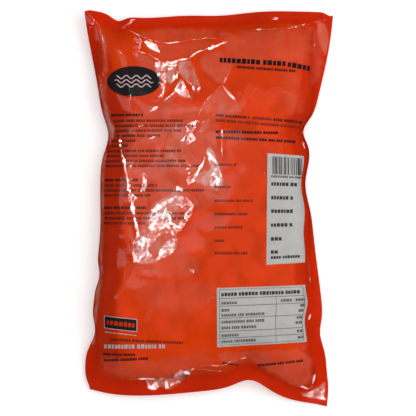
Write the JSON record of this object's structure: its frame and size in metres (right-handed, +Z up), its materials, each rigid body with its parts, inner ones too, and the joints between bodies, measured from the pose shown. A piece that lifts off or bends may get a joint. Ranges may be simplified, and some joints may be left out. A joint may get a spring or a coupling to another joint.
{
  "type": "sealed pouch of frozen raw peeled prawns",
  "caption": "Sealed pillow pouch of glossy orange-red printed film, filled with frozen raw peeled prawns, lying with its back panel up.",
  "frame": {"origin": "under the middle of the pouch's plan outline, on the surface that it lies on", "axes": "+X to the right of the upward panel, +Y towards the top seal, +Z up out of the panel"},
  "size_m": [0.2098, 0.3342, 0.054],
  "materials": {
    "film": "glossy printed orange-red film",
    "dark_ink": "near-black print on the film",
    "pale_ink": "grey-white print on the film"
  },
  "bodies": {
    "root": {"pouch": "film"}
  },
  "joints": []
}
